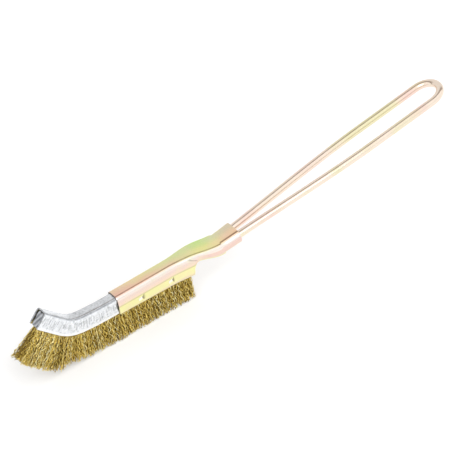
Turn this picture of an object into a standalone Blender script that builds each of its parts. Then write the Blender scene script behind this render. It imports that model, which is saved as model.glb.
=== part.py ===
"""Narrow brass strip brush with a wire hairpin handle.

+X runs from the brush towards the handle's loop, +Z is up, and the brush is symmetric about Y = 0.
It stands on its trimmed bristles, with the origin under the middle of the whole object.
"""
import math

import bmesh
import bpy
import numpy as np
from mathutils import Vector

MM = 0.001
GAP = 0.15 * MM                     # clearance between pieces that touch on the real brush
WIRE_GAP = 0.22 * MM                # the same where the sleeve is rolled round the wire

# handle: one round wire bent to a hairpin
WIRE_RADIUS = 1.75 * MM
LEG_START_X = 50.0 * MM             # cut ends of the two legs, hidden in the sleeve's neck
LOOP_END_X = 175.2 * MM
LEG_OFFSET_NECK = 2.05 * MM         # leg centre to the middle plane, in the neck
LEG_OFFSET_LOOP = 6.2 * MM          # the same beside the loop
LOOP_REACH = 7.6 * MM               # length of the bend along X, a half ellipse
SPREAD_START_X = 40.0 * MM
SPREAD_END_X = 135.0 * MM
WIRE_Z = -5.1 * MM                  # height of the leg centres in the neck
WIRE_BEND_X = 53.0 * MM             # where the legs start to rise
WIRE_SLOPE = math.tan(math.radians(7.77))
WIRE_BEND_BLEND = 4.0 * MM

# sleeve: one piece of pressed sheet
SHEET = 0.6 * MM
SLEEVE_END_X = 62.8 * MM
SLEEVE_HALF_WIDTH = 3.15 * MM
SLEEVE_SIDE_FRONT = 8.3 * MM        # height of the front end
SLEEVE_SIDE_REAR = 9.4 * MM         # height where the side walls end
SLEEVE_EDGE_RADIUS = 1.6 * MM
SIDE_BULGE = 0.25 * MM              # how far the crease along each wall stands out
WALL_END_X = 38.2 * MM
CORNER_END_X = 41.5 * MM
FLARE_START_X = 27.0 * MM
FLARE_END_X = 47.0 * MM
NECK_HALF_WIDTH = 4.9 * MM
NECK_SIDE = 4.5 * MM
NECK_SIDE_FRONT = 3.0 * MM          # just behind the wing
TOP_DROP_START_X = 37.0 * MM
TOP_DROP_END_X = 55.6 * MM
ROLL_RADIUS = WIRE_RADIUS + WIRE_GAP + SHEET
ROLL_TAIL = 0.9 * MM
GRIP_START_X = 52.4 * MM            # the edges close in to the wire's radius,
GRIP_END_X = 53.8 * MM
ROLL_END_X = 55.6 * MM              # and the flanges roll under it
DENT_X = (11.1 * MM, 26.8 * MM)
DENT_Z = -6.3 * MM
DENT_SIZE = (3.0 * MM, 0.35 * MM, 1.9 * MM)

# strip: galvanised channel, core wire and bristles
STRIP_REAR_X = 38.4 * MM
CHANNEL_SHEET = 0.65 * MM
CHANNEL_HALF_WIDTH = SLEEVE_HALF_WIDTH - SHEET - GAP
CHANNEL_HEIGHT = 7.4 * MM
CHANNEL_EDGE_RADIUS = 1.0 * MM
CHANNEL_TOP_Z = -SHEET - GAP
END_PLATE = 0.5 * MM                # thickness of the tab that closes the tip
END_PLATE_INSET = 0.25 * MM
CORE_DEPTH = 2.1 * MM               # from the channel's top face to the core wire's centre
CORE_RADIUS = 0.5 * MM
CORE_Z = CHANNEL_TOP_Z - CORE_DEPTH
RISE_ANGLE = math.radians(6.0)      # gentle rise in front of the sleeve,
RISE_END = 18.0 * MM                # reached this far along the core wire
BEND_ANGLE = math.radians(39.0)     # sharper bend that follows it
BEND_START = 15.5 * MM
BEND_END = 29.5 * MM
TIP_RUN = 40.6 * MM                 # length of the channel in front of the sleeve

BRISTLE_ROOT_HALF = 1.4 * MM
BRISTLE_TRIM_HALF = 4.3 * MM
BRISTLE_LENGTH = 18.9 * MM          # from the core wire's centre to the trim
BRISTLE_TIP_LENGTH = 22.2 * MM      # the same beyond the bend
LONGER_FROM = math.radians(20.0)    # turned angles between which the bristles get longer
LONGER_TO = math.radians(31.0)
REAR_LEAN = math.radians(6.0)       # the last bristles lean forwards,
REAR_LEAN_END = 12.0 * MM           # over this much of the rear
BARE_TIP = 1.6 * MM                 # channel left bare beyond the last bristles
FOLD_TOP = CORE_RADIUS + GAP + 0.55 * MM
SECTIONS = 20
SECTION_GAP = 0.24 * MM


def clear_scene():
    for old in list(bpy.data.objects):
        bpy.data.objects.remove(old, do_unlink=True)


def make_collection(name):
    collection = bpy.data.collections.new(name)
    bpy.context.scene.collection.children.link(collection)
    return collection


def make_material(name, colour, roughness, metallic=1.0):
    material = bpy.data.materials.new(name)
    material.use_nodes = True
    shader = material.node_tree.nodes["Principled BSDF"]
    shader.inputs["Base Color"].default_value = (*colour, 1.0)
    shader.inputs["Roughness"].default_value = roughness
    shader.inputs["Metallic"].default_value = metallic
    return material


def smooth_step(value, start, end):
    """0 before start, 1 after end, with level ends between."""
    share = min(max((value - start) / (end - start), 0.0), 1.0)
    return share * share * (3.0 - 2.0 * share)


def blend(first, second, share):
    return first + (second - first) * share


# ---- routes ------------------------------------------------------------------------------------

def wire_height(x):
    """Height of the leg centres: level in the neck, then a straight rise after a rounded bend."""
    run = x - WIRE_BEND_X
    half = WIRE_BEND_BLEND
    if run <= -half:
        return WIRE_Z
    if run >= half:
        return WIRE_Z + WIRE_SLOPE * run
    return WIRE_Z + WIRE_SLOPE * (run + half) ** 2 / (4.0 * half)


def leg_offset(x):
    """Distance of each leg's centre from the middle plane."""
    return blend(LEG_OFFSET_NECK, LEG_OFFSET_LOOP, smooth_step(x, SPREAD_START_X, SPREAD_END_X))


def turned_angle(run):
    """Angle that the strip has turned upwards at a distance from its rear end."""
    front = run - STRIP_REAR_X
    return RISE_ANGLE * smooth_step(front, 0.0, RISE_END) + BEND_ANGLE * smooth_step(front, BEND_START, BEND_END)


def core_line(steps=2000):
    """Distances along the core wire, and the place and turned angle at each, by adding up short steps."""
    runs = np.linspace(0.0, STRIP_LENGTH, steps + 1)
    turned = np.array([turned_angle(run) for run in runs])
    step = STRIP_LENGTH / steps
    x = STRIP_REAR_X - step * np.concatenate(([0.0], np.cumsum(np.cos(turned[:-1]))))
    z = CORE_Z + step * np.concatenate(([0.0], np.cumsum(np.sin(turned[:-1]))))
    return runs, x, z, turned


STRIP_LENGTH = STRIP_REAR_X + TIP_RUN
CORE_LINE = core_line()


def strip_frame(run):
    """Point on the core line at a distance from the rear end, and the angle turned by then."""
    runs, x, z, turned = CORE_LINE
    centre = Vector((np.interp(run, runs, x), 0.0, np.interp(run, runs, z)))
    return centre, float(np.interp(run, runs, turned))


def strip_point(run, side, height, lean=None):
    """A point beside and above the core line, in the plane square to the strip or in one that leans."""
    centre, turned = strip_frame(run)
    if lean is None:
        lean = turned
    return centre + Vector((height * math.sin(lean), side, height * math.cos(lean)))


# ---- mesh helpers ------------------------------------------------------------------------------

def link_mesh(name, mesh, collection, material):
    item = bpy.data.objects.new(name, mesh)
    collection.objects.link(item)
    if material:
        mesh.materials.append(material)
    return item


def sheet_from_rows(name, rows, collection, material):
    """An open sheet through rows of points, one row for each station along it."""
    mesh = bpy.data.meshes.new(name)
    bm = bmesh.new()
    grid = [[bm.verts.new(point) for point in row] for row in rows]
    for near, far in zip(grid, grid[1:]):
        for side in range(len(near) - 1):
            bm.faces.new((near[side], near[side + 1], far[side + 1], far[side]))
    bm.to_mesh(mesh)
    bm.free()
    return link_mesh(name, mesh, collection, material)


def add_mirror(item):
    mirror = item.modifiers.new("mirror_y", "MIRROR")
    mirror.use_axis = (False, True, False)
    mirror.merge_threshold = 0.00002


def add_thickness(item, thickness):
    """Thicken a sheet inwards from its outer face."""
    solidify = item.modifiers.new("thickness", "SOLIDIFY")
    solidify.thickness = thickness
    solidify.offset = -1.0
    solidify.use_even_offset = True


def add_cut(item, cutter):
    cut = item.modifiers.new("cut_" + cutter.name, "BOOLEAN")
    cut.operation = "DIFFERENCE"
    cut.solver = "EXACT"
    cut.object = cutter


def hide_cutter(cutter):
    cutter.hide_render = True
    cutter.display_type = "WIRE"


def shade(item, angle=35.0):
    item.data.shade_smooth()
    item.data.set_sharp_from_angle(angle=math.radians(angle))


def wire_curve(name, points, radius, sides, collection, material):
    """A round wire through the points, with closed ends."""
    curve = bpy.data.curves.new(name, "CURVE")
    curve.dimensions = "3D"
    curve.bevel_depth = radius
    curve.bevel_resolution = (sides - 4) // 2
    curve.use_fill_caps = True
    spline = curve.splines.new("POLY")
    spline.points.add(len(points) - 1)
    for spot, point in zip(spline.points, points):
        spot.co = (*point, 1.0)
    item = bpy.data.objects.new(name, curve)
    collection.objects.link(item)
    if material:
        curve.materials.append(material)
    return item


def mesh_from_curve(item):
    """The same piece as a mesh with welded caps, so that it can be cut or used as a cutter."""
    bpy.context.view_layer.update()
    depsgraph = bpy.context.evaluated_depsgraph_get()
    mesh = bpy.data.meshes.new_from_object(item.evaluated_get(depsgraph))
    bm = bmesh.new()
    bm.from_mesh(mesh)
    bmesh.ops.remove_doubles(bm, verts=bm.verts, dist=0.000001)
    bmesh.ops.recalc_face_normals(bm, faces=bm.faces)
    bm.to_mesh(mesh)
    bm.free()
    name = item.name
    collection = item.users_collection[0]
    place = item.matrix_world.copy()
    bpy.data.objects.remove(item, do_unlink=True)
    solid = bpy.data.objects.new(name, mesh)
    solid.matrix_world = place
    collection.objects.link(solid)
    return solid


# ---- handle ------------------------------------------------------------------------------------

def handle_route():
    """One leg out, round the bend and back along the other leg."""
    bend_x = LOOP_END_X - WIRE_RADIUS - LOOP_REACH
    neck = np.linspace(LEG_START_X, WIRE_BEND_X + WIRE_BEND_BLEND, 6)
    free = np.linspace(WIRE_BEND_X + WIRE_BEND_BLEND, bend_x, 15)[1:]
    leg = [Vector((x, -leg_offset(x), wire_height(x))) for x in (*neck, *free)]
    turns = np.linspace(-math.pi / 2, math.pi / 2, 19)[1:-1]
    reach = bend_x + LOOP_REACH * np.cos(turns)
    bend = [Vector((x, LEG_OFFSET_LOOP * math.sin(a), wire_height(x))) for x, a in zip(reach, turns)]
    back = [Vector((point.x, -point.y, point.z)) for point in reversed(leg)]
    return leg + bend + back


def make_handle(collection, material):
    return wire_curve("handle_loop", handle_route(), WIRE_RADIUS, 12, collection, material)


# ---- sleeve ------------------------------------------------------------------------------------

def sleeve_top(x):
    """Height of the sleeve's top face: level over the strip, then down to the neck."""
    neck_top = wire_height(x) + ROLL_RADIUS
    return blend(0.0, neck_top, smooth_step(x, TOP_DROP_START_X, TOP_DROP_END_X))


def flange_profile(centre, radius, curl, tail, bulge):
    """Half of an open section as (y, drop) pairs: flat top, an edge arc and the tail beyond it.

    The arc turns by the curl angle round a centre at y = centre, so a quarter turn leaves an upright
    wall and a half turn wraps round a wire. The tail stands out by the bulge along its crease.
    """
    points = [(0.0, 0.0), (centre / 2, 0.0), (centre, 0.0)]
    for angle in np.linspace(0.0, curl, 8)[1:]:
        points.append((centre + radius * math.sin(angle), radius * (1 - math.cos(angle))))
    along = np.array((math.cos(curl), math.sin(curl)))
    outward = np.array((math.sin(curl), -math.cos(curl)))
    for share, lift in ((0.22, 0.6), (0.45, 1.0), (0.65, 0.64), (0.83, 0.3), (1.0, 0.0)):
        points.append(np.array(points[9]) + along * share * tail + outward * lift * bulge)
    return np.array(points)


def sleeve_section(x):
    """Outer half section of the sleeve at x, as points in space."""
    half_width = blend(SLEEVE_HALF_WIDTH, NECK_HALF_WIDTH, smooth_step(x, FLARE_START_X, FLARE_END_X))
    front_side = blend(SLEEVE_SIDE_FRONT, SLEEVE_SIDE_REAR, min(x / WALL_END_X, 1.0))
    corner = min(max((x - WALL_END_X) / (CORNER_END_X - WALL_END_X), 0.0), 1.0)
    neck_side = blend(NECK_SIDE_FRONT, NECK_SIDE, smooth_step(x, CORNER_END_X, GRIP_START_X))
    side = blend(front_side, neck_side, math.sqrt(1.0 - (1.0 - corner) ** 2))
    bulge = SIDE_BULGE * (1.0 - smooth_step(x, WALL_END_X, CORNER_END_X))
    grip = smooth_step(x, GRIP_START_X, GRIP_END_X)
    roll = smooth_step(x, GRIP_END_X, ROLL_END_X)
    radius = blend(SLEEVE_EDGE_RADIUS, ROLL_RADIUS, grip)
    centre = blend(half_width - SLEEVE_EDGE_RADIUS, leg_offset(x), grip)
    tail = blend(side - radius, ROLL_TAIL, roll)
    profile = flange_profile(centre, radius, blend(math.pi / 2, math.pi, roll), tail, bulge)
    top = sleeve_top(x)
    return [Vector((x, -y, top - drop)) for y, drop in profile]


def sleeve_stations():
    front = np.linspace(0.0, 24.0, 4)
    flare = np.linspace(28.0, 38.2, 4)
    corner = (38.35, 38.8, 39.5, 40.4, 41.5)
    neck = (43.5, 46.0, 49.0, 51.0, 52.4, 52.9, 53.3, 53.8, 54.2, 54.5, 54.8, 55.1, 55.6)
    roll = (59.0, SLEEVE_END_X / MM)
    return np.array((*front, *flare, *corner, *neck, *roll)) * MM


def make_dent_cutters(cutters):
    """Shallow pockets where both walls are crimped against the channel."""
    made = []
    for x in DENT_X:
        for sign in (-1.0, 1.0):
            bpy.ops.mesh.primitive_cube_add(size=1.0)
            dent = bpy.context.active_object
            dent.name = "dent_cutter_%d" % len(made)
            wall = SLEEVE_HALF_WIDTH + 0.55 * SIDE_BULGE
            dent.location = (x, sign * wall, DENT_Z)
            dent.scale = (DENT_SIZE[0], 2 * DENT_SIZE[1], DENT_SIZE[2])
            for owner in list(dent.users_collection):
                owner.objects.unlink(dent)
            cutters.objects.link(dent)
            hide_cutter(dent)
            made.append(dent)
    return made


def make_sleeve(collection, cutters, material):
    rows = [sleeve_section(x) for x in sleeve_stations()]
    sleeve = sheet_from_rows("clamp_sleeve", rows, collection, material)
    add_mirror(sleeve)
    add_thickness(sleeve, SHEET)
    for cutter in make_dent_cutters(cutters):
        add_cut(sleeve, cutter)
    shade(sleeve)
    return sleeve


# ---- strip -------------------------------------------------------------------------------------

def strip_runs():
    """Stations along the strip: few on the straights, then every millimetre or so round the bend."""
    rise = np.linspace(0.0, BEND_START, 5)
    bend = np.linspace(BEND_START, BEND_END, 13)[1:]
    return (0.0, *(STRIP_REAR_X + rise), *(STRIP_REAR_X + bend), STRIP_LENGTH)


def channel_section(run):
    """Outer half section of the channel at one station."""
    radius = CHANNEL_EDGE_RADIUS
    half = CHANNEL_HALF_WIDTH
    spots = [(0.0, 0.0), (half - radius, 0.0)]
    for angle in np.radians([30.0, 60.0, 90.0]):
        spots.append((half - radius * (1 - math.sin(angle)), radius * (1 - math.cos(angle))))
    spots.append((half, CHANNEL_HEIGHT))
    return [strip_point(run, -side, CORE_DEPTH - drop) for side, drop in spots]


def make_channel(collection, material):
    rows = [channel_section(run) for run in reversed(strip_runs())]
    channel = sheet_from_rows("brush_channel", rows, collection, material)
    add_mirror(channel)
    add_thickness(channel, CHANNEL_SHEET)
    shade(channel)
    return channel


def make_end_plate(collection, material):
    """Upright tab just inside the tip, clear of the walls and the top."""
    half = CHANNEL_HALF_WIDTH - CHANNEL_SHEET - GAP
    top = CORE_DEPTH - CHANNEL_SHEET - 1.6 * GAP
    foot = CORE_DEPTH - CHANNEL_HEIGHT + 0.1 * MM
    spots = ((-half, top), (half, top), (half, foot), (-half, foot))
    lean = strip_frame(STRIP_LENGTH)[1]
    bm = bmesh.new()
    outer = STRIP_LENGTH - END_PLATE_INSET
    front, back = [[bm.verts.new(strip_point(run, side, height, lean)) for side, height in spots]
                   for run in (outer, outer - END_PLATE)]
    for spot in range(4):
        after = (spot + 1) % 4
        bm.faces.new((front[spot], front[after], back[after], back[spot]))
    bm.faces.new(front)
    bm.faces.new(list(reversed(back)))
    bmesh.ops.recalc_face_normals(bm, faces=bm.faces)
    mesh = bpy.data.meshes.new("end_plate")
    bm.to_mesh(mesh)
    bm.free()
    return link_mesh("end_plate", mesh, collection, material)


def make_core_wire(collection, material):
    ends = STRIP_LENGTH - END_PLATE_INSET - END_PLATE - GAP
    points = [strip_point(min(run, ends), 0.0, 0.0) for run in strip_runs()]
    return wire_curve("core_wire", points, CORE_RADIUS, 8, collection, material)


def make_core_cutter(cutters):
    """Tunnel through the bristle folds, a little wider than the core wire."""
    points = [strip_point(run, 0.0, 0.0) for run in strip_runs()]
    points[0] = points[0] + Vector((1.0 * MM, 0.0, 0.0))
    tunnel = wire_curve("core_cutter", points, CORE_RADIUS + GAP, 8, cutters, None)
    tunnel = mesh_from_curve(tunnel)
    hide_cutter(tunnel)
    return tunnel


def bristle_length(run):
    _, turned = strip_frame(run)
    return blend(BRISTLE_LENGTH, BRISTLE_TIP_LENGTH, smooth_step(turned, LONGER_FROM, LONGER_TO))


def bristle_lean(run):
    """Angle from the vertical at which the bristles leave the strip: its own, and more at the rear."""
    _, turned = strip_frame(run)
    return turned + REAR_LEAN * (1.0 - smooth_step(run, 0.0, REAR_LEAN_END))


def bristle_outline(run):
    """Section of the bristles: a fold over the core wire, a squeezed root and a spreading brush."""
    length = bristle_length(run)
    mouth = CHANNEL_HEIGHT - CORE_DEPTH
    root = BRISTLE_ROOT_HALF
    half = [(0.55 * root, FOLD_TOP), (root, FOLD_TOP - 0.5 * MM), (root, -mouth)]
    half += [(blend(root, BRISTLE_TRIM_HALF, 0.62), -blend(mouth, length, 0.5)), (BRISTLE_TRIM_HALF, -length)]
    return half + [(-side, height) for side, height in reversed(half)]


def make_section(index, start, end, collection, cutter, material):
    """One stretch of bristles between two stations of the strip."""
    name = "bristle_section_%02d" % index
    bm = bmesh.new()
    loops = []
    for run in (start, end):
        lean = bristle_lean(run)
        spots = bristle_outline(run)
        loops.append([bm.verts.new(strip_point(run, side, height, lean)) for side, height in spots])
    near, far = loops
    count = len(near)
    for spot in range(count):
        after = (spot + 1) % count
        bm.faces.new((near[spot], near[after], far[after], far[spot]))
    bm.faces.new(near)
    bm.faces.new(list(reversed(far)))
    bmesh.ops.recalc_face_normals(bm, faces=bm.faces)
    mesh = bpy.data.meshes.new(name)
    bm.to_mesh(mesh)
    bm.free()
    section = link_mesh(name, mesh, collection, material)
    add_cut(section, cutter)
    return section


def section_limits():
    """Stations where one stretch of bristles ends and the next begins.

    The stretches are as long as each other at half the bristles' depth, so they are shorter at the core
    wire where the strip bends.
    """
    last = STRIP_LENGTH - BARE_TIP
    fine = np.linspace(0.0, last, 400)
    middles = [strip_point(run, 0.0, -bristle_length(run) / 2, bristle_lean(run)) for run in fine]
    steps = [(after - before).length for before, after in zip(middles, middles[1:])]
    travelled = np.concatenate(([0.0], np.cumsum(steps)))
    return np.interp(np.linspace(0.0, travelled[-1], SECTIONS + 1), travelled, fine)


def make_bristles(collection, cutters, material):
    cutter = make_core_cutter(cutters)
    limits = section_limits()
    for index, (start, end) in enumerate(zip(limits, limits[1:]), start=1):
        inset = SECTION_GAP / 2
        make_section(index, start + inset, end - inset, collection, cutter, material)


# ---- assembly ----------------------------------------------------------------------------------

def move_to_base(collection, cutters):
    """Set the origin under the middle of the whole brush, at the trimmed bristle ends."""
    bpy.context.view_layer.update()
    depsgraph = bpy.context.evaluated_depsgraph_get()
    corners = []
    for item in collection.objects:
        solid = item.evaluated_get(depsgraph)
        corners += [solid.matrix_world @ vertex.co for vertex in solid.to_mesh().vertices]
        solid.to_mesh_clear()
    spots = np.array([tuple(corner) for corner in corners])
    low, high = spots.min(axis=0), spots.max(axis=0)
    shift = Vector((-(low[0] + high[0]) / 2, 0.0, -low[2]))
    for item in (*collection.objects, *cutters.objects):
        item.location += shift


def main():
    clear_scene()
    collection = make_collection("grill_cleaning_brush")
    cutters = make_collection("cutters")
    plated = make_material("yellow_chromate_steel", (0.86, 0.74, 0.50), 0.28)
    galvanised = make_material("galvanised_steel", (0.72, 0.74, 0.76), 0.38)
    steel = make_material("plain_steel_wire", (0.45, 0.45, 0.46), 0.4)
    brass = make_material("brass_wire", (0.66, 0.48, 0.16), 0.35)
    make_handle(collection, plated)
    make_sleeve(collection, cutters, plated)
    make_channel(collection, galvanised)
    make_end_plate(collection, galvanised)
    make_core_wire(collection, steel)
    make_bristles(collection, cutters, brass)
    move_to_base(collection, cutters)


main()
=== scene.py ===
# Grill cleaning brush: crimped brass wires in a galvanised strip, held by a plated sleeve on a hairpin wire.
# +X runs from the bristles to the handle's loop, +Z is up, and the brush stands on its trimmed bristles.
import math

import bpy
import numpy as np
from mathutils import Matrix, Vector


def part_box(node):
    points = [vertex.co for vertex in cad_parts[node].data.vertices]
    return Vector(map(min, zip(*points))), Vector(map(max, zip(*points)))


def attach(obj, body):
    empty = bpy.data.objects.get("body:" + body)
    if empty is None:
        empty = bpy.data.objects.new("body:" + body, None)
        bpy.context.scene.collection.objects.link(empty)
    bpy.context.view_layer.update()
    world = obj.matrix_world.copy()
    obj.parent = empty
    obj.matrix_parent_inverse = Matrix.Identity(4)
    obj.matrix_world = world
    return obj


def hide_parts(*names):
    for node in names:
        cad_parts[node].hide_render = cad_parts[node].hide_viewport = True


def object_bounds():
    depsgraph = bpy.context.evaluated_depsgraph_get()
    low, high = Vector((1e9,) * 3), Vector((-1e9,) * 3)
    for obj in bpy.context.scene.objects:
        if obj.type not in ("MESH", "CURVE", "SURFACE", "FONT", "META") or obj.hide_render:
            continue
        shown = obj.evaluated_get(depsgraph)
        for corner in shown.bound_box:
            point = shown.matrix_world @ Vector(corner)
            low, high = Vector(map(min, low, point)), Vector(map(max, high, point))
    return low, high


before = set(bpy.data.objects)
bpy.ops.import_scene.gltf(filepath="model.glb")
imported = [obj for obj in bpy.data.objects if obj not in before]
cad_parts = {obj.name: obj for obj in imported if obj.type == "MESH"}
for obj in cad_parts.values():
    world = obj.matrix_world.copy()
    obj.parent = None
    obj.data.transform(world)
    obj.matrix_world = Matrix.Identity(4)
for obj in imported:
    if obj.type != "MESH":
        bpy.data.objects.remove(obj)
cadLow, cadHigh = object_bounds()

mm = 0.001
random = np.random.default_rng(11)

# the sleeve's front end on its top face is where the sizes below are measured from
sleeveLow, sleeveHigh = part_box("clamp_sleeve")
loopLow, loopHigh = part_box("handle_loop")
channelLow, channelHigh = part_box("brush_channel")
startPoint = np.array((sleeveLow.x, 0.0, sleeveHigh.z))


# 0 before start, 1 after end, t*t*(3-2t) between
def smoothStep(value, start, end):
    share = np.clip((np.asarray(value, float) - start) / (end - start), 0.0, 1.0)
    return share * share * (3.0 - 2.0 * share)


# first + (second - first) * share
def mix(first, second, share):
    return first + (second - first) * share


# faces of a grid of rows x columns, as corner numbers; wrap joins the last column to the first
def gridFaces(rows, columns, wrap=False):
    across = np.arange(columns if wrap else columns - 1)
    along = np.arange(rows - 1)[:, None] * columns
    after = (across + 1) % columns
    here, beside = along + across, along + after
    return np.stack((here, beside, beside + columns, here + columns), axis=-1).reshape(-1, 4)


# a mesh from points and lists of faces that each have one corner count
def makeMesh(name, points, faceLists):
    mesh = bpy.data.meshes.new(name)
    corners = np.concatenate([faces.ravel() for faces in faceLists])
    sizes = np.concatenate([np.full(len(faces), faces.shape[1]) for faces in faceLists])
    mesh.vertices.add(len(points))
    mesh.vertices.foreach_set("co", np.ascontiguousarray(points, np.float32).ravel())
    mesh.loops.add(len(corners))
    mesh.loops.foreach_set("vertex_index", corners.astype(np.int32))
    mesh.polygons.add(len(sizes))
    mesh.polygons.foreach_set("loop_start", np.concatenate(([0], np.cumsum(sizes)[:-1])).astype(np.int32))
    mesh.update(calc_edges=True)
    mesh.polygons.foreach_set("use_smooth", np.ones(len(sizes), bool))
    item = bpy.data.objects.new(name, mesh)
    bpy.context.scene.collection.objects.link(item)
    return item


# one number for each vertex, read by the material
def storeValue(item, name, values):
    layer = item.data.attributes.new(name, "FLOAT", "POINT")
    layer.data.foreach_set("value", np.ascontiguousarray(values, np.float32))


# a piece rides on the one body, stands for its CAD node, which it hides, and gets the given material
def placePiece(item, node, material):
    item.data.materials.append(material)
    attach(item, "root")
    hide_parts(node)


# an open sheet gets its wall: inner face = outer face - normal * thickness, with softened cut edges
def thicken(item, thickness, edge):
    wall = item.modifiers.new("wall", "SOLIDIFY")
    wall.thickness = thickness
    wall.offset = -1.0
    wall.use_even_offset = True
    soft = item.modifiers.new("edges", "BEVEL")
    soft.width = edge
    soft.segments = 2
    soft.limit_method = "ANGLE"
    soft.angle_limit = math.radians(55.0)
    bpy.context.view_layer.update()
    solid = bpy.data.meshes.new_from_object(item.evaluated_get(bpy.context.evaluated_depsgraph_get()))
    item.modifiers.clear()
    item.data = solid
    solid.shade_smooth()
    solid.set_sharp_from_angle(angle=math.radians(40.0))


# ring points round a path: centre + radius * (cos(a) * side + sin(a) * up)
def tubePoints(path, radius, sides, planeNormal):
    along = np.gradient(path, axis=0)
    along /= np.linalg.norm(along, axis=1)[:, None]
    side = np.cross(planeNormal, along)
    side /= np.linalg.norm(side, axis=1)[:, None]
    up = np.cross(along, side)
    angle = np.linspace(0.0, 2.0 * math.pi, sides, endpoint=False)
    ring = np.cos(angle)[None, :, None] * side[:, None, :] + np.sin(angle)[None, :, None] * up[:, None, :]
    return path[:, None, :] + np.reshape(radius, (-1, 1, 1)) * ring


# a shader node with its settings, its given inputs linked or set
def addNode(tree, kind, inputs=None, **settings):
    node = tree.nodes.new(kind)
    for key, value in settings.items():
        setattr(node, key, value)
    for key, value in (inputs or {}).items():
        if isinstance(value, bpy.types.NodeSocket):
            tree.links.new(value, node.inputs[key])
        else:
            node.inputs[key].default_value = value
    return node


# one sum on sockets or numbers
def calculate(tree, operation, first, second):
    return addNode(tree, "ShaderNodeMath", {0: first, 1: second}, operation=operation).outputs[0]


# value carried from one span to another, held at both ends
def mapRange(tree, value, fromLow, fromHigh, toLow=0.0, toHigh=1.0, kind="SMOOTHSTEP"):
    given = {"Value": value, "From Min": fromLow, "From Max": fromHigh, "To Min": toLow, "To Max": toHigh}
    return addNode(tree, "ShaderNodeMapRange", given, interpolation_type=kind).outputs["Result"]


# colour = first + (second - first) * factor, or another blend of the two
def mixColour(tree, factor, first, second, blend="MIX"):
    node = addNode(tree, "ShaderNodeMix", data_type="RGBA", blend_type=blend)
    for key, kind, value in (("Factor", "VALUE", factor), ("A", "RGBA", first), ("B", "RGBA", second)):
        socket = [found for found in node.inputs if found.name == key and found.type == kind][0]
        if isinstance(value, bpy.types.NodeSocket):
            tree.links.new(value, socket)
        else:
            socket.default_value = value if kind == "VALUE" else (*value, 1.0)
    return [found for found in node.outputs if found.type == "RGBA"][0]


# colours at places from 0 to 1, eased or straight between them
def colourRamp(tree, value, stops, kind="EASE"):
    node = addNode(tree, "ShaderNodeValToRGB", {"Fac": value})
    ramp = node.color_ramp
    ramp.interpolation = kind
    while len(ramp.elements) < len(stops):
        ramp.elements.new(0.5)
    for element, (place, colour) in zip(ramp.elements, stops):
        element.position = place
        element.color = (*colour, 1.0)
    return node.outputs["Color"]


# an empty node group with named inputs and outputs
def newGroup(name, inputs, outputs):
    group = bpy.data.node_groups.new(name, "ShaderNodeTree")
    for label, kind, value in inputs:
        socket = group.interface.new_socket(label, in_out="INPUT", socket_type=kind)
        socket.default_value = value
    for label, kind in outputs:
        group.interface.new_socket(label, in_out="OUTPUT", socket_type=kind)
    source = group.nodes.new("NodeGroupInput").outputs
    target = group.nodes.new("NodeGroupOutput").inputs
    return group, source, target


# a shared group placed in a material with that material's own values
def placeGroup(tree, group, inputs):
    return addNode(tree, "ShaderNodeGroup", inputs, node_tree=group).outputs


# soft noise from 0 to 1
def noise(tree, position, scale, detail):
    given = {"Vector": position, "Scale": scale, "Detail": detail}
    return addNode(tree, "ShaderNodeTexNoise", given).outputs["Fac"]


# plating film: a colour that drifts between three tints in soft clouds
def makeFilmGroup():
    group, source, target = newGroup(
        "platingFilm",
        [("Position", "NodeSocketVector", (0, 0, 0)), ("Cloud scale", "NodeSocketFloat", 60.0),
         ("Base", "NodeSocketColor", (1, 1, 1, 1)), ("Tint A", "NodeSocketColor", (1, 1, 1, 1)),
         ("Tint B", "NodeSocketColor", (1, 1, 1, 1)), ("Amount", "NodeSocketFloat", 0.4)],
        [("Color", "NodeSocketColor")])
    scale = source["Cloud scale"]
    clouds = noise(group, source["Position"], scale, 2.5)
    shift = {0: source["Position"], 1: (0.31, 0.17, 0.23)}  # so that the two cloud fields don't agree
    moved = addNode(group, "ShaderNodeVectorMath", shift, operation="ADD").outputs[0]
    second = noise(group, moved, scale, 2.0)
    warm = calculate(group, "MULTIPLY", mapRange(group, clouds, 0.46, 0.66), source["Amount"])
    cool = calculate(group, "MULTIPLY", mapRange(group, second, 0.48, 0.68), source["Amount"])
    tinted = mixColour(group, warm, source["Base"], source["Tint A"])
    group.links.new(mixColour(group, cool, tinted, source["Tint B"]), target["Color"])
    return group


# drawn and rolled metal: long faint lines along one direction and small handling scratches
def makeGrainGroup():
    group, source, target = newGroup(
        "metalGrain",
        [("Position", "NodeSocketVector", (0, 0, 0)), ("Stretch", "NodeSocketVector", (60, 2500, 2500)),
         ("Roughness", "NodeSocketFloat", 0.25), ("Spread", "NodeSocketFloat", 0.1)],
        [("Roughness", "NodeSocketFloat"), ("Height", "NodeSocketFloat")])
    scales = {0: source["Position"], 1: source["Stretch"]}
    stretched = addNode(group, "ShaderNodeVectorMath", scales, operation="MULTIPLY").outputs[0]
    lines = noise(group, stretched, 1.0, 3.0)
    smudge = noise(group, source["Position"], 420.0, 3.0)
    both = calculate(group, "MULTIPLY", lines, 0.6)
    both = calculate(group, "ADD", both, calculate(group, "MULTIPLY", smudge, 0.4))
    spread = calculate(group, "MULTIPLY", calculate(group, "SUBTRACT", both, 0.5), source["Spread"])
    rough = calculate(group, "ADD", source["Roughness"], calculate(group, "MULTIPLY", spread, 2.0))
    group.links.new(rough, target["Roughness"])
    group.links.new(both, target["Height"])
    return group


filmGroup = makeFilmGroup()
grainGroup = makeGrainGroup()


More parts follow.
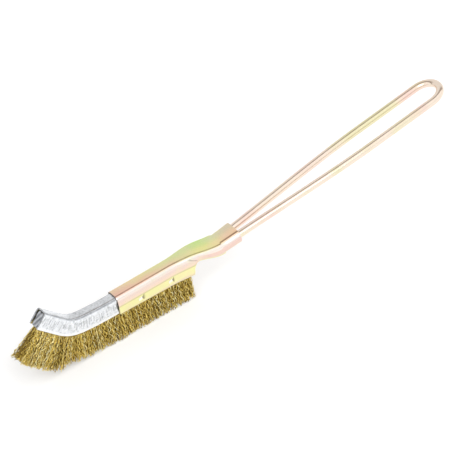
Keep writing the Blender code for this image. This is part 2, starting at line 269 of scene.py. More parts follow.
# a metal material: colour and roughness sockets feed the shader, and a height feeds its bump
def metalMaterial(name, build, bumpDistance, bumpStrength=0.5):
    material = bpy.data.materials.new(name)
    material.use_nodes = True
    tree = material.node_tree
    shader = tree.nodes["Principled BSDF"]
    shader.inputs["Metallic"].default_value = 1.0
    colour, rough, height = build(tree)
    tree.links.new(colour, shader.inputs["Base Color"])
    tree.links.new(rough, shader.inputs["Roughness"])
    raised = {"Height": height, "Strength": bumpStrength, "Distance": bumpDistance}
    tree.links.new(addNode(tree, "ShaderNodeBump", raised).outputs["Normal"], shader.inputs["Normal"])
    return material


def objectPosition(tree):
    return addNode(tree, "ShaderNodeTexCoord").outputs["Object"]


def splitVector(tree, vector):
    return addNode(tree, "ShaderNodeSeparateXYZ", {0: vector}).outputs


def surfaceFacing(tree):
    return splitVector(tree, addNode(tree, "ShaderNodeNewGeometry").outputs["Normal"])


def storedValue(tree, name):
    return addNode(tree, "ShaderNodeAttribute", attribute_name=name).outputs["Fac"]


# the plating film with a base colour and two tints, each given as three numbers or a socket
def platingColour(tree, position, scale, base, tints, amount):
    colours = [tint if isinstance(tint, bpy.types.NodeSocket) else (*tint, 1.0) for tint in (base, *tints)]
    given = {"Position": position, "Cloud scale": scale, "Base": colours[0],
             "Tint A": colours[1], "Tint B": colours[2], "Amount": amount}
    return placeGroup(tree, filmGroup, given)["Color"]


# grain stretched along the metal's own direction, as a roughness and a height
def grainOf(tree, position, stretch, roughness, spread):
    given = {"Position": position, "Stretch": stretch, "Roughness": roughness, "Spread": spread}
    grain = placeGroup(tree, grainGroup, given)
    return grain["Roughness"], grain["Height"]


# handle: one round wire bent to a hairpin
handle = {
    "legStart": 50.0 * mm,      # cut ends, inside the neck
    "neckOffset": 2.05 * mm,
    "spreadStart": 40.0 * mm,
    "spreadEnd": 135.0 * mm,
    "neckHeight": -5.1 * mm,
    "bendAt": 53.0 * mm,
    "bendBlend": 4.0 * mm,
    "rise": math.tan(math.radians(7.77)),
    "radius": 1.75 * mm,
    "loopOffset": 6.2 * mm,
    "loopReach": 7.6 * mm,
    "sides": 28,
    "steps": 150,
    "cream": (0.89, 0.76, 0.64),
    "pink": (0.86, 0.64, 0.57),
    "olive": (0.80, 0.76, 0.48),
    "cloudScale": 48.0,
    "grain": (60, 2600, 2600),
}


# level, then a parabola, then a straight rise
def wireHeight(x):
    half = handle["bendBlend"]
    run = np.asarray(x, float) - handle["bendAt"]
    curved = handle["rise"] * (np.clip(run, -half, half) + half) ** 2 / (4.0 * half)
    return handle["neckHeight"] + curved + handle["rise"] * np.maximum(run - half, 0.0)


# half the distance between the two legs: neckOffset to loopOffset, eased
def legOffset(x):
    spread = smoothStep(x, handle["spreadStart"], handle["spreadEnd"])
    return mix(handle["neckOffset"], handle["loopOffset"], spread)


# leg out at y = -offset(x), half ellipse of loopReach by loopOffset, leg back at y = +offset(x)
def handlePath():
    bendX = loopHigh.x - startPoint[0] - handle["radius"] - handle["loopReach"]
    x = np.linspace(handle["legStart"], bendX, handle["steps"])
    leg = np.stack((x, -legOffset(x), wireHeight(x)), axis=1)
    turn = np.linspace(-math.pi / 2, math.pi / 2, 42)[1:-1]
    reach = bendX + handle["loopReach"] * np.cos(turn)
    bend = np.stack((reach, handle["loopOffset"] * np.sin(turn), wireHeight(reach)), axis=1)
    back = leg[::-1] * (1.0, -1.0, 1.0)
    return np.concatenate((leg, bend, back)) + startPoint


# cream plating with clouds of pink and olive, over lines drawn along the wire
def handleColour(tree):
    position = objectPosition(tree)
    tints = (handle["pink"], handle["olive"])
    colour = platingColour(tree, position, handle["cloudScale"], handle["cream"], tints, 0.85)
    return colour, *grainOf(tree, position, handle["grain"], 0.2, 0.16)


# the wire's round profile carried along the path, with a cap on each cut end
def makeHandle():
    path = handlePath()
    rounded = np.full(len(path), handle["radius"])
    rounded[[0, -1]] *= 0.9     # sheared ends lose their sharp rim
    points = tubePoints(path, rounded, handle["sides"], np.array((-0.13, 0.0, 1.0)))
    rows, sides = points.shape[:2]
    caps = np.stack((np.arange(sides)[::-1], np.arange(sides) + (rows - 1) * sides))
    item = makeMesh("handleWire", points.reshape(-1, 3), [gridFaces(rows, sides, wrap=True), caps])
    material = metalMaterial("platedWire", handleColour, 0.02 * mm)
    placePiece(item, "handle_loop", material)


# sleeve: pressed sheet, an upright channel that closes round the two wires
sleeve = {
    "sheet": 0.6 * mm,
    "length": sleeveHigh.x - sleeveLow.x,
    "halfWidth": 3.15 * mm,
    "sideFront": 8.3 * mm,
    "sideRear": 9.4 * mm,
    "edgeRadius": 1.6 * mm,
    "bulge": 0.25 * mm,
    "wallEnd": 38.2 * mm,
    "cornerEnd": 41.5 * mm,
    "flare": (27.0 * mm, 47.0 * mm),
    "neckHalf": 4.9 * mm,
    "neckSide": (3.0 * mm, 4.5 * mm),
    "topDrop": (37.0 * mm, 55.6 * mm),
    "rollGap": 0.22 * mm,
    "rollTail": 0.9 * mm,
    "grip": (52.4 * mm, 53.8 * mm),
    "rollEnd": 55.6 * mm,
    "dents": (11.1 * mm, 26.8 * mm),
    "dentDrop": 6.3 * mm,
    "dentHalf": (1.35 * mm, 1.05 * mm),
    "dentDepth": 0.36 * mm,
    "wrinkle": (36.2 * mm, 40.8 * mm),
    "wrinkleDepth": 0.3 * mm,
    "wrinkleWidth": 0.24 * mm,
    "cutEdge": 0.06 * mm,
}


# stations: coarse on the plain stretches, fine at the dents, the wing's corner and the step
def sleeveStations():
    length = sleeve["length"] / mm
    spans = ((0, 9.5, 12), (9.5, 12.6, 26), (12.6, 25.2, 16), (25.2, 28.4, 26), (28.4, 35, 10),
             (35, 37.6, 10), (37.6, 42, 34), (42, 51.8, 16), (51.8, 56, 26), (56, length, 10))
    stretches = [np.linspace(low, high, count, endpoint=False) for low, high, count in spans]
    return np.concatenate(stretches + [[length]]) * mm


# 1 between start and end, fading to 0 over the given widths
def window(value, start, end, fadeIn, fadeOut):
    return smoothStep(value, start - fadeIn, start) * (1.0 - smoothStep(value, end, end + fadeOut))


# a pressed pocket that deepens towards the handle: depth = ramp(x) * window(x) * window(height);
# with it go two masks of painted light: a painted highlight over the pocket and painted shade on its end wall
def dentDepth(x, drop):
    depth = np.zeros(np.broadcast(x, drop).shape)
    bright = np.zeros(depth.shape)
    dark = np.zeros(depth.shape)
    halfLong, halfTall = sleeve["dentHalf"]
    for centre in sleeve["dents"]:
        start, end = centre - halfLong, centre + halfLong
        ramp = 0.6 + 0.4 * np.clip((x - start) / (end - start), 0.0, 1.0)
        inside = window(x, start, end - 0.2 * mm, 0.15 * mm, 0.2 * mm)
        height = np.abs(drop - sleeve["dentDrop"] + 0.15 * (x - centre))
        tall = 1.0 - smoothStep(height, halfTall - 0.2 * mm, halfTall)
        depth = depth + sleeve["dentDepth"] * ramp * inside * tall
        bright = bright + tall * inside
        reach = 1.0 - smoothStep(height, halfTall + 0.1 * mm, halfTall + 0.35 * mm)
        dark = dark + reach * window(x, end - 0.12 * mm, end + 0.12 * mm, 0.13 * mm, 0.13 * mm)
    return depth, bright, dark


# a short pinched line beside the ridge, where the wall ends: window(x) * exp(-(distance / width)^2)
def wrinkleDepth(x, drop):
    start, end = sleeve["wrinkle"]
    line = 0.6 * mm + 0.4 * (x - start)
    along = window(x, start + 2.0 * mm, end - 1.5 * mm, 2.0 * mm, 1.5 * mm)
    return along * np.exp(-(((drop - line) / sleeve["wrinkleWidth"]) ** 2))


# half section: flat top to y = centre, arc of the curl angle, then a tail that stands out along its crease;
# it gives y, the drop below the top, the painted shade and painted highlight marks, and the drop as a share
# of the wall
def sleeveHalf(x):
    x = x[:, None]
    half = mix(sleeve["halfWidth"], sleeve["neckHalf"], smoothStep(x, *sleeve["flare"]))
    wing = mix(sleeve["sideFront"], sleeve["sideRear"], np.minimum(x / sleeve["wallEnd"], 1.0))
    corner = np.clip((x - sleeve["wallEnd"]) / (sleeve["cornerEnd"] - sleeve["wallEnd"]), 0.0, 1.0)
    neck = mix(*sleeve["neckSide"], smoothStep(x, sleeve["cornerEnd"], sleeve["grip"][0]))
    side = mix(wing, neck, np.sqrt(1.0 - (1.0 - corner) ** 2))
    grip = smoothStep(x, *sleeve["grip"])
    roll = smoothStep(x, sleeve["grip"][1], sleeve["rollEnd"])
    rollRadius = handle["radius"] + sleeve["rollGap"] + sleeve["sheet"]
    radius = mix(sleeve["edgeRadius"], rollRadius, grip)
    centre = mix(half - sleeve["edgeRadius"], legOffset(x), grip)
    tail = mix(side - radius, sleeve["rollTail"], roll)
    curl = mix(math.pi / 2, math.pi, roll)
    flat = np.linspace(0.0, 1.0, 7)[None, :-1]
    arc = np.linspace(0.0, 1.0, 17)[None, :]
    run = np.linspace(0.0, 1.0, 27)[None, 1:]
    lift = np.where(run < 0.45, smoothStep(run, 0.0, 0.45), 1.0 - (run - 0.45) / 0.55)
    lift = lift * sleeve["bulge"] * (1.0 - smoothStep(x, sleeve["wallEnd"], sleeve["cornerEnd"]))
    tailSide = centre + radius * np.sin(curl) + run * tail * np.cos(curl) + lift * np.sin(curl)
    tailDrop = radius * (1.0 - np.cos(curl)) + run * tail * np.sin(curl) - lift * np.cos(curl)
    y = np.concatenate((centre * flat, centre + radius * np.sin(curl * arc), tailSide), axis=1)
    drop = np.concatenate((0.0 * centre * flat, radius * (1.0 - np.cos(curl * arc)), tailDrop), axis=1)
    tailPart = np.arange(y.shape[1])[None, :] >= flat.shape[1] + arc.shape[1]
    depth, bright, dark = dentDepth(x, drop)
    wrinkle = wrinkleDepth(x, drop) * (y > 0.5 * half)
    y = y - depth * tailPart - sleeve["wrinkleDepth"] * wrinkle
    # stored shade: painted shade on the dents' end walls (above 0), a painted highlight over their pockets
    # (below 0)
    shade = np.where(dark > 0.02, 0.6 * dark, -0.95 * bright) * tailPart
    # the pinched line is painted dark as well, a painted dark reflection along the groove
    return y, drop, shade + 1.4 * wrinkle, drop / side


# a half section's values on both sides of the middle, the far side's first value dropped
def bothSides(near, far):
    return np.concatenate((near[:, ::-1], far[:, 1:]), axis=1)


# the sections carried along x, under a top that is level and then eases down to the wires
def makeSleevePoints():
    x = sleeveStations()
    y, drop, shade, share = sleeveHalf(x)
    neckTop = wireHeight(x) + handle["radius"] + sleeve["rollGap"] + sleeve["sheet"]
    top = mix(0.0, neckTop, smoothStep(x, *sleeve["topDrop"]))
    y = bothSides(-y, y)
    z = top[:, None] - bothSides(drop, drop)
    x = np.broadcast_to(x[:, None], y.shape)
    return np.stack((x, y, z), axis=2) + startPoint, bothSides(shade, shade), bothSides(share, share)


# tints along the top face by distance from the front end, nearest side and far side, and down the walls
sleeveTints = {
    "near": ((0.00, (0.86, 0.55, 0.43)), (0.19, (0.92, 0.58, 0.42)), (0.42, (0.90, 0.66, 0.46)),
             (0.56, (0.84, 0.76, 0.42)), (0.72, (0.88, 0.84, 0.36)), (0.84, (0.93, 0.80, 0.38)),
             (0.94, (0.93, 0.66, 0.44))),
    "far": ((0.00, (0.86, 0.62, 0.46)), (0.19, (0.88, 0.74, 0.42)), (0.35, (0.80, 0.78, 0.40)),
            (0.55, (0.72, 0.80, 0.40)), (0.74, (0.64, 0.82, 0.32)), (0.84, (0.76, 0.78, 0.46)),
            (0.94, (0.76, 0.66, 0.48))),
    # painted light on the walls: the pale first stop under the ridge is a painted highlight, and the dark
    # olive stop at 0.49, on the crease, is painted shade
    "wall": ((0.00, (0.92, 0.86, 0.80)), (0.20, (0.84, 0.68, 0.60)), (0.42, (0.88, 0.70, 0.56)),
             (0.49, (0.70, 0.64, 0.32)), (0.55, (0.91, 0.88, 0.44)), (0.84, (0.93, 0.88, 0.46)),
             (1.00, (0.84, 0.74, 0.50))),
    # the neck wall's two pale stops at its top are a painted highlight
    "neckWall": ((0.10, (0.97, 0.92, 0.86)), (0.24, (0.94, 0.86, 0.80)), (0.40, (0.84, 0.62, 0.55)),
                 (0.78, (0.83, 0.62, 0.54)), (0.92, (0.84, 0.80, 0.52)), (1.0, (0.80, 0.78, 0.46))),
    "neckStart": (25 * mm, 18 * mm),        # from the rear end, where the wall's tints change
    "wallHeight": 9.0 * mm,
    "clouds": ((0.92, 0.70, 0.56), (0.82, 0.84, 0.42)),
    # a dark colour for painted shade, and a near-white for the painted highlight in the dents
    "shade": (0.10, 0.07, 0.05),
    "paintedHighlight": (1.0, 0.97, 0.90),
}


# the top's two rows of tints meet across the middle, and a slow wave keeps every border uneven
def sleeveColour(tree):
    tints = sleeveTints
    position = objectPosition(tree)
    axes, facing = splitVector(tree, position), surfaceFacing(tree)
    wave = noise(tree, position, 90.0, 2.0)
    sway = calculate(tree, "MULTIPLY", calculate(tree, "SUBTRACT", wave, 0.5), 0.2)
    along = mapRange(tree, axes["X"], sleeveLow.x, sleeveHigh.x, kind="LINEAR")
    swayed = calculate(tree, "ADD", along, sway)
    across = mapRange(tree, axes["Y"], -2.6 * mm, 2.6 * mm)
    near, far = colourRamp(tree, swayed, tints["near"]), colourRamp(tree, swayed, tints["far"])
    top = mixColour(tree, across, near, far)
    down = mapRange(tree, axes["Z"], sleeveHigh.z, sleeveHigh.z - tints["wallHeight"], kind="LINEAR")
    down = calculate(tree, "ADD", down, calculate(tree, "MULTIPLY", sway, 0.25))
    neckStart, neckFull = tints["neckStart"]
    neckPart = mapRange(tree, axes["X"], sleeveHigh.x - neckStart, sleeveHigh.x - neckFull)
    neckWall = colourRamp(tree, storedValue(tree, "down"), tints["neckWall"])
    wall = mixColour(tree, neckPart, colourRamp(tree, down, tints["wall"]), neckWall)
    base = mixColour(tree, mapRange(tree, facing["Z"], 0.72, 0.96), wall, top)
    plated = platingColour(tree, position, 150.0, base, tints["clouds"], 0.2)
    # painted highlight: where the stored value is below 0, the dents' pockets turn near-white
    shade = storedValue(tree, "shade")
    paintedHighlight = mixColour(tree, calculate(tree, "MULTIPLY", shade, -1.0), plated, tints["paintedHighlight"])
    # painted shade on the front cut edge: faces turned towards -X darken
    cutEdge = calculate(tree, "MULTIPLY", mapRange(tree, facing["X"], -0.5, -0.85), 0.85)
    dark = calculate(tree, "MAXIMUM", shade, cutEdge)
    colour = mixColour(tree, dark, paintedHighlight, tints["shade"])
    return colour, *grainOf(tree, position, (90, 1500, 1500), 0.18, 0.12)


# the sheet's outer face as a grid, thickened inwards
def makeSleeve():
    points, shade, share = makeSleevePoints()
    rows, columns = points.shape[:2]
    item = makeMesh("platedSleeve", points.reshape(-1, 3), [gridFaces(rows, columns)])
    storeValue(item, "shade", shade.ravel())
    storeValue(item, "down", share.ravel())
    thicken(item, sleeve["sheet"], sleeve["cutEdge"])
    material = metalMaterial("platedSheet", sleeveColour, 0.03 * mm)
    placePiece(item, "clamp_sleeve", material)


# strip: the core line that the channel and the bristles follow
strip = {
    "rear": channelHigh.x - startPoint[0],
    "coreHeight": -2.85 * mm,
    "riseAngle": math.radians(6.0),
    "riseEnd": 18.0 * mm,
    "bendAngle": math.radians(39.0),
    "bend": (15.5 * mm, 29.5 * mm),
    "tipRun": 40.6 * mm,
    "coreDepth": 2.1 * mm,
}


# angle(s) = rise * smoothStep + bend * smoothStep, place = sum of steps along (-cos, sin)
def makeCoreLine(steps=4000):
    total = strip["rear"] + strip["tipRun"]
    runs = np.linspace(0.0, total, steps + 1)
    front = runs - strip["rear"]
    turned = strip["riseAngle"] * smoothStep(front, 0.0, strip["riseEnd"])
    turned = turned + strip["bendAngle"] * smoothStep(front, *strip["bend"])
    step = total / steps
    x = strip["rear"] - step * np.concatenate(([0.0], np.cumsum(np.cos(turned[:-1]))))
    z = strip["coreHeight"] + step * np.concatenate(([0.0], np.cumsum(np.sin(turned[:-1]))))
    return runs, x + startPoint[0], z + startPoint[2], turned


coreLine = makeCoreLine()


# point = core(run) + height * normal + along * forward, both turned by the lean
def stripPoints(run, side, height, lean=None, along=0.0):
    runs, x, z, turned = coreLine
    if lean is None:
        lean = np.interp(run, runs, turned)
    px = np.interp(run, runs, x) + height * np.sin(lean) - along * np.cos(lean)
    pz = np.interp(run, runs, z) + height * np.cos(lean) + along * np.sin(lean)
    return np.stack(np.broadcast_arrays(px, side, pz), axis=-1)


# channel: galvanised strip rolled to a U, with the marks of the rollers that closed it
channel = {
    "sheet": 0.65 * mm,
    "half": 2.4 * mm,
    "height": 7.4 * mm,
    "edgeRadius": 1.0 * mm,
    "tickStep": 1.25 * mm,
    "tickDepth": 0.14 * mm,
    "roll": 0.05 * mm,          # how far the walls belly out
    "cutEdge": 0.06 * mm,
    "zinc": ((0.25, (0.54, 0.56, 0.58)), (0.42, (0.76, 0.78, 0.80)), (0.60, (0.87, 0.89, 0.92)),
             (0.9, (0.95, 0.96, 0.97))),
    # tickGrey colours the painted shade in the ticks and the painted dark reflection on the ridge; rimGrey
    # colours the painted highlight on the rim
    "tickGrey": (0.13, 0.14, 0.16),
    "rimGrey": (0.97, 0.98, 0.99),
    "endGrey": (0.25, 0.26, 0.29),
}


# pressed ticks across the walls: narrow dips at uneven steps, each with its own top, foot and depth
def tickDepth(run, drop, seed):
    own = np.random.default_rng(seed)
    total = coreLine[0][-1]
    places = np.arange(0.6 * mm, total, channel["tickStep"])
    places = places + own.uniform(-0.35, 0.35, len(places)) * mm
    depth = np.zeros(np.broadcast(run, drop).shape)
    for place in places:
        width = own.uniform(0.16, 0.34) * mm
        high, foot = own.uniform(1.3, 2.2) * mm, own.uniform(3.6, 6.4) * mm
        tall = window(drop, high + 0.2 * mm, foot - 0.6 * mm, 0.7 * mm, 0.6 * mm)
        lean = own.uniform(-0.08, 0.08) * (drop - high)
        depth = depth + own.uniform(0.25, 1.0) * tall * np.exp(-(((run - place - lean) / width) ** 2))
    return np.minimum(depth, 1.2)


# half section = flat top, quarter round, straight wall, carried along the core line on both sides;
# its marks are painted light: painted shade in the ticks and a painted dark reflection on the ridge (above 0,
# darker), and a painted highlight on the rim (below 0, lighter)
def makeChannelPoints():
    run = np.arange(0.0, coreLine[0][-1], 0.22 * mm)
    run = np.concatenate((run, [coreLine[0][-1]]))[::-1, None]
    radius, half = channel["edgeRadius"], channel["half"]
    flat = np.linspace(0.0, half - radius, 5)[:-1]
    arc = np.linspace(0.0, math.pi / 2, 9)
    down = np.linspace(radius, channel["height"], 26)[1:]
    side = np.concatenate((flat, half - radius + radius * np.sin(arc), np.full(len(down), half)))
    drop = np.concatenate((0.0 * flat, radius * (1.0 - np.cos(arc)), down))
    sides, marks = [], []
    for sign, seed in ((-1.0, 5), (1.0, 6)):
        wall = smoothStep(drop, 0.6 * mm, 1.6 * mm)[None, :]
        roll = channel["roll"] * np.sin(drop / channel["height"] * math.pi)[None, :] * wall
        ticks = tickDepth(run, drop[None, :], seed)
        out = side[None, :] + roll - channel["tickDepth"] * ticks
        sides.append(stripPoints(run, sign * out, strip["coreDepth"] - drop[None, :]))
        # painted light: a dark reflection line on the ridge's round, a highlight on the rim, and shade in the
        # tick dips
        ridge = 0.75 * np.exp(-(((drop - 0.3 * mm) / (0.16 * mm)) ** 2)) * (side > half - radius)
        rim = 0.9 * smoothStep(drop, channel["height"] - 1.3 * mm, channel["height"] - 0.9 * mm)
        marks.append(np.minimum(1.15 * ticks + ridge[None, :], 1.3) - rim[None, :])
    return bothSides(*sides), bothSides(*marks)


# zinc spangle: cells of slightly different grey; the cut end is darker, painted shade in the ticks and a
# painted dark reflection on the ridges make them darker, and a painted highlight makes the rim lighter
def channelColour(tree):
    position = objectPosition(tree)
    facing = surfaceFacing(tree)
    cells = addNode(tree, "ShaderNodeTexVoronoi", {"Vector": position, "Scale": 1100.0}, feature="F1")
    grey = splitVector(tree, cells.outputs["Color"])["X"]
    mottle = noise(tree, position, 800.0, 3.0)
    spangle = calculate(tree, "MULTIPLY", grey, 0.3)
    spangle = calculate(tree, "ADD", spangle, calculate(tree, "MULTIPLY", mottle, 0.7))
    topShade = mapRange(tree, facing["Z"], 0.55, 0.8, 1.0, 0.86)
    colour = mixColour(tree, 1.0, colourRamp(tree, spangle, channel["zinc"]), topShade, "MULTIPLY")
    marks = storedValue(tree, "shade")
    # painted shade and dark reflection of the marks, broken up by the mottle; on the end tab the stored
    # values are a mottle
    patchyMarks = calculate(tree, "MULTIPLY", marks, mapRange(tree, mottle, 0.35, 0.6, 0.6, 1.0))
    colour = mixColour(tree, patchyMarks, colour, channel["tickGrey"])
    # painted highlight on the rim, where the stored value is below 0
    colour = mixColour(tree, calculate(tree, "MULTIPLY", marks, -1.0), colour, channel["rimGrey"])
    cutEnd = calculate(tree, "MULTIPLY", mapRange(tree, facing["X"], -0.45, -0.75), 0.4)
    colour = mixColour(tree, cutEnd, colour, channel["endGrey"])
    return colour, grainOf(tree, position, (300, 900, 900), 0.24, 0.3)[0], spangle


endTab = {
    "thickness": 0.3 * mm,
    "inset": 0.42 * mm,
    "overlap": 0.17 * mm,       # past the plain tab, so that it reaches the channel's walls
    "crumple": 0.07 * mm,
    "rows": 29,
    "columns": 15,
}


# an upright tab closes the tip, dented by crumple = two sines of side and height
def makeEndTab(material):
    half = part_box("end_plate")[1].y + endTab["overlap"]
    side = np.linspace(-half, half, endTab["columns"])[None, :]
    top = strip["coreDepth"] - channel["sheet"] + 0.05 * mm
    foot = strip["coreDepth"] - channel["height"] + 0.1 * mm
    height = np.linspace(top, foot, endTab["rows"])[:, None]
    crumple = endTab["crumple"] * (np.sin(side / mm * 2.6 + 1.0) + np.sin(height / mm * 1.9 + side / mm))
    run = coreLine[0][-1] - endTab["inset"]
    points = stripPoints(run, side + 0.0 * height, height + 0.0 * side, coreLine[3][-1], crumple)
    item = makeMesh("endPlate", points.reshape(-1, 3), [gridFaces(endTab["rows"], endTab["columns"])])
    storeValue(item, "shade", (0.5 + 0.5 * np.sin(side / mm * 3.0 + height / mm * 1.3)).ravel())
    thicken(item, endTab["thickness"], 0.04 * mm)
    placePiece(item, "end_plate", material)


# the strip's outer face as a grid, thickened inwards, with the tab at its tip
def makeChannel():
    points, marks = makeChannelPoints()
    rows, columns = points.shape[:2]
    item = makeMesh("galvanisedChannel", points.reshape(-1, 3), [gridFaces(rows, columns)])
    storeValue(item, "shade", marks.ravel())
    thicken(item, channel["sheet"], channel["cutEdge"])
    material = metalMaterial("galvanisedStrip", channelColour, 0.04 * mm)
    placePiece(item, "brush_channel", material)
    makeEndTab(material)


# bristles: crimped brass wires folded over the core wire
bristles = {
    "sections": 20,
    "wiresEach": 144,
    "radius": 0.18 * mm,
    "foldTop": 0.95 * mm,
    "mouth": 5.3 * mm,          # from the core wire down to the channel's open edge
    "rootHalf": 1.25 * mm,
    "trimHalf": 4.2 * mm,
    "length": 18.9 * mm,
    "tipLength": 22.2 * mm,
    "longer": (math.radians(20.0), math.radians(31.0)),
    "rearLean": math.radians(6.0),
    "rearLeanEnd": 12.0 * mm,
    "bareTip": 1.6 * mm,
    "crimp": 0.52 * mm,
    "crimpStep": (3.0 * mm, 4.4 * mm),
    "freeSteps": 28,
    "strayShare": 0.04,
    "unevenLength": 0.03,
    "unevenSpread": 0.35 * mm,
    "swing": (0.06, 0.12),      # sideways slope of a wire, and the extra slope of a stray one
    "sweep": 0.45 * mm,
    "buried": 0.6 * mm,         # stretch inside the channel's mouth
    "brass": (0.84, 0.65, 0.18),
    "paleBrass": (1.0, 0.92, 0.54),
    "darkBrass": (0.28, 0.18, 0.035),
}


# length from the core line to the trim: longer where the strip has turned up
def bristleLength(run):
    turned = np.interp(run, coreLine[0], coreLine[3])
    return mix(bristles["length"], bristles["tipLength"], smoothStep(turned, *bristles["longer"]))


# lean = the strip's own turn, and a little more at the rear end
def bristleLean(run):
    turned = np.interp(run, coreLine[0], coreLine[3])
    return turned + bristles["rearLean"] * (1.0 - smoothStep(run, 0.0, bristles["rearLeanEnd"]))


# limits of the sections: equal steps along the line at half the bristles' depth
def sectionLimits():
    fine = np.linspace(0.0, coreLine[0][-1] - bristles["bareTip"], 400)
    middle = stripPoints(fine, 0.0, -bristleLength(fine) / 2, bristleLean(fine))
    travelled = np.concatenate(([0.0], np.cumsum(np.linalg.norm(np.diff(middle, axis=0), axis=1))))
    return np.interp(np.linspace(0.0, travelled[-1], bristles["sections"] + 1), travelled, fine)


# one wire: up from the fold over the core, down inside the channel, then out in a crimped, spreading curve
def bristlePaths(start, end, count):
    run = mix(start, end, (np.arange(count) + random.uniform(0.0, 1.0, count)) / count)[:, None]
    sign = np.where(random.permutation(count) % 2 == 0, 1.0, -1.0)[:, None]
    root = random.uniform(0.0, 1.0, count)[:, None]
    stray = (random.uniform(0.0, 1.0, count) < bristles["strayShare"])[:, None]
    shortened = 1.0 - np.abs(random.normal(0.0, bristles["unevenLength"], count))[:, None]
    length = bristleLength(run) * shortened * (1.0 + 0.03 * stray)
    free = np.linspace(0.0, 1.0, bristles["freeSteps"] + 1)[None, :]
    buriedTo = bristles["mouth"] - bristles["buried"]
    depth = buriedTo + free * (length - buriedTo)
    spread = root * bristles["trimHalf"] + random.normal(0.0, bristles["unevenSpread"], count)[:, None]
    spread = np.clip(spread, 0.0, bristles["trimHalf"] + 0.1 * mm)
    y = mix(root * bristles["rootHalf"], spread, free ** 0.85)
    swing, strayed = (random.normal(0.0, slope, count)[:, None] for slope in bristles["swing"])
    swing = swing + stray * strayed
    sweep = random.normal(0.0, bristles["sweep"], count)[:, None] * free ** 2
    along = swing * (depth - bristles["mouth"]) + sweep
    turn = random.uniform(0.0, 2.0 * math.pi, count)[:, None]
    wave = random.uniform(*bristles["crimpStep"], count)[:, None]
    size = bristles["crimp"] * random.uniform(0.7, 1.3, count)[:, None] * smoothStep(free, 0.0, 0.12)
    phase = 2.0 * math.pi * depth / wave + random.uniform(0.0, 6.3, count)[:, None]
    bend = size * np.sin(phase + 0.35 * np.sin(2.3 * phase))
    along = along + bend * (0.35 + 0.65 * np.abs(np.cos(turn)))
    y = sign * y + bend * np.sin(turn) * 0.8
    # the hidden stretch: from the top of the fold down beside the core wire
    foldHeight = np.array((bristles["foldTop"], 0.75 * mm, 0.0, -1.6 * mm))[None, :]
    foldSide = np.array((0.0, 0.45, 0.72, 0.85))[None, :] * bristles["rootHalf"]
    foldY = sign * (foldSide + 0.0 * run)
    heights = np.concatenate((foldHeight + 0.0 * run, -depth), axis=1)
    y = np.concatenate((foldY, y), axis=1)
    along = np.concatenate((0.0 * foldY, along), axis=1)
    points = stripPoints(np.broadcast_to(run, y.shape), y, heights, bristleLean(run), along)
    points[..., 2] = np.maximum(points[..., 2], cadLow.z + bristles["radius"] * 0.5)
    return points


# three-sided wires round their paths: corner = path + radius * (cos(a) * side + sin(a) * across)
def wireBundle(paths, radius):
    count, steps = paths.shape[:2]
    along = np.gradient(paths, axis=1)
    along /= np.linalg.norm(along, axis=2, keepdims=True)
    side = np.cross(along, np.array((0.23, 0.95, 0.2)))
    side /= np.linalg.norm(side, axis=2, keepdims=True)
    across = np.cross(along, side)
    angle = np.array((0.0, 2.0, 4.0)) * math.pi / 3.0
    ring = np.cos(angle)[:, None] * side[:, :, None, :] + np.sin(angle)[:, None] * across[:, :, None, :]
    points = (paths[:, :, None, :] + radius * ring).reshape(-1, 3)
    base = gridFaces(steps, 3, wrap=True)
    shift = (np.arange(count) * steps * 3)[:, None, None]
    faces = (base[None] + shift).reshape(-1, 4)
    ends = np.array(((2, 1, 0), (steps * 3 - 3, steps * 3 - 2, steps * 3 - 1)))
    caps = (ends[None] + shift).reshape(-1, 3)
    return points, faces, caps


# brass with a tone for each wire, stored as an attribute, from dark to bright: random per wire, and lowered
# for inner wires as painted shade
def bristleColour(tree):
    brass = bristles["brass"]
    stops = ((0.04, bristles["darkBrass"]), (0.3, brass), (0.6, brass), (0.85, bristles["paleBrass"]))
    colour = colourRamp(tree, storedValue(tree, "tone"), stops, "LINEAR")
    return colour, *grainOf(tree, objectPosition(tree), (900, 900, 900), 0.2, 0.15)


# each section is one piece; wires that stand further out are brighter, as the inner ones get painted shade
def makeBristles():
    material = metalMaterial("brassWire", bristleColour, 0.01 * mm, 0.3)
    limits = sectionLimits()
    for index in range(bristles["sections"]):
        paths = bristlePaths(limits[index], limits[index + 1], bristles["wiresEach"])
        points, faces, caps = wireBundle(paths, bristles["radius"])
        item = makeMesh("brassWires%02d" % (index + 1), points, [faces, caps])
        outer = np.clip(np.abs(paths[:, -8, 1]) / bristles["trimHalf"], 0.0, 1.0)   # near the trim
        # painted shade: the random tone is scaled down for wires nearer the middle
        tone = random.uniform(0.0, 1.0, len(paths)) * (0.45 + 0.55 * outer)
        storeValue(item, "tone", np.repeat(tone, paths.shape[1] * 3))
        placePiece(item, "bristle_section_%02d" % (index + 1), material)


# core wire: it keeps its CAD shape and gets a dull drawn finish
coreTints = {"steel": (0.45, 0.45, 0.46), "patches": ((0.30, 0.27, 0.24), (0.6, 0.6, 0.6))}


def coreColour(tree):
    position = objectPosition(tree)
    colour = platingColour(tree, position, 300.0, coreTints["steel"], coreTints["patches"], 0.6)
    return colour, *grainOf(tree, position, (80, 3000, 3000), 0.36, 0.2)


def finishCoreWire():
    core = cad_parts["core_wire"]
    core.data.materials.clear()
    core.data.materials.append(metalMaterial("drawnSteel", coreColour, 0.01 * mm))


# studio: a pale floor under a white tent with a dark card near the top
studio = {
    "floorSize": 4.0,
    "floorColour": (0.88, 0.89, 0.90),
    "floorGlow": 0.27,
    "domeStrength": 1.0,
    "card": (0.22, 0.16, 0.14),
    "keyPlace": (-0.2, -1.25, 1.3),
    "keySize": 0.9,
    "keyPower": 5.0,
}


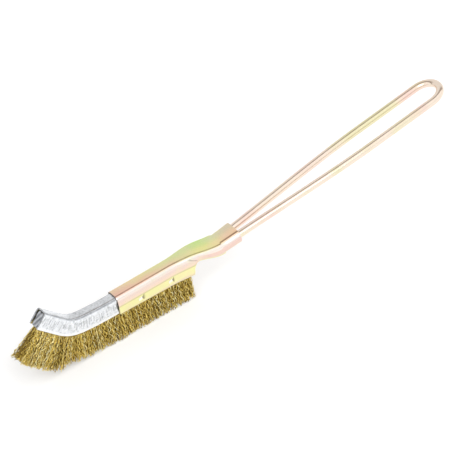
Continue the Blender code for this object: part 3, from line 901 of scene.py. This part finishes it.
# a square floor at the height the brush stands on
def makeFloor():
    half = studio["floorSize"] / 2
    z = cadLow.z
    corners = np.array(((-half, -half, z), (half, -half, z), (half, half, z), (-half, half, z)))
    floor = makeMesh("floor", corners, [np.array(((0, 1, 2, 3),))])
    material = bpy.data.materials.new("paleFloor")
    material.use_nodes = True
    shader = material.node_tree.nodes["Principled BSDF"]
    shader.inputs["Base Color"].default_value = (*studio["floorColour"], 1.0)
    shader.inputs["Roughness"].default_value = 0.9
    shader.inputs["Specular IOR Level"].default_value = 0.1
    shader.inputs["Emission Color"].default_value = (1.0, 1.0, 1.0, 1.0)
    shader.inputs["Emission Strength"].default_value = studio["floorGlow"]
    floor.data.materials.append(material)


# a white tent: brightness by the direction's angle from the back horizon, over the top, to the front one
def makeDome():
    world = bpy.data.worlds.new("tent")
    bpy.context.scene.world = world
    world.use_nodes = True
    tree = world.node_tree
    axes = splitVector(tree, addNode(tree, "ShaderNodeTexCoord").outputs["Generated"])
    angle = calculate(tree, "ARCTAN2", axes["Z"], axes["Y"])
    share = mapRange(tree, angle, 0.0, math.pi, kind="LINEAR")
    card = studio["card"]
    stops = ((0.0, (0.88,) * 3), (0.31, (0.90,) * 3), (0.38, (0.62, 0.58, 0.54)), (0.425, card), (0.48, card),
             (0.51, (1.12,) * 3), (1.0, (1.03,) * 3))
    colour = colourRamp(tree, share, stops, "LINEAR")
    background = tree.nodes["Background"]
    tree.links.new(colour, background.inputs["Color"])
    background.inputs["Strength"].default_value = studio["domeStrength"]


# a round softbox in front, turned towards the target
def makeSoftbox(target):
    data = bpy.data.lights.new("softbox", "AREA")
    data.shape = "DISK"
    data.size = studio["keySize"]
    data.energy = studio["keyPower"]
    lamp = bpy.data.objects.new("softbox", data)
    bpy.context.scene.collection.objects.link(lamp)
    lamp.location = studio["keyPlace"]
    lamp.rotation_euler = (target - lamp.location).to_track_quat("-Z", "Y").to_euler()


# camera = target + back * distance, turned so that right, up and back are its axes
viewing = {"azimuth": -27.706, "elevation": 40.891, "roll": -11.140, "distance": 3.418, "lens": 647.0,
           "right": 47.575 * mm, "up": 29.792 * mm}


def makeCamera():
    azimuth, elevation, roll = (math.radians(viewing[key]) for key in ("azimuth", "elevation", "roll"))
    level = Vector((math.cos(azimuth), math.sin(azimuth), 0.0))
    flat = math.cos(elevation)
    forward = Vector((-math.sin(azimuth) * flat, math.cos(azimuth) * flat, -math.sin(elevation)))
    upright = level.cross(forward)
    right = math.cos(roll) * level + math.sin(roll) * upright
    up = -math.sin(roll) * level + math.cos(roll) * upright
    target = Vector(startPoint) + right * viewing["right"] + up * viewing["up"]
    data = bpy.data.cameras.new("camera")
    data.lens = viewing["lens"]
    data.sensor_width = 36.0
    data.clip_end = 100.0
    camera = bpy.data.objects.new("camera", data)
    bpy.context.scene.collection.objects.link(camera)
    place = target - forward * viewing["distance"]
    turn = Matrix((right, up, -forward)).transposed().to_4x4()
    camera.matrix_world = Matrix.Translation(place) @ turn
    bpy.context.scene.camera = camera
    return target


def main():
    print("handle")
    makeHandle()
    print("sleeve")
    makeSleeve()
    print("channel")
    makeChannel()
    print("bristles")
    makeBristles()
    finishCoreWire()
    print("studio")
    makeFloor()
    makeDome()
    makeSoftbox(makeCamera())
    bpy.context.scene.view_settings.view_transform = "Standard"


main()
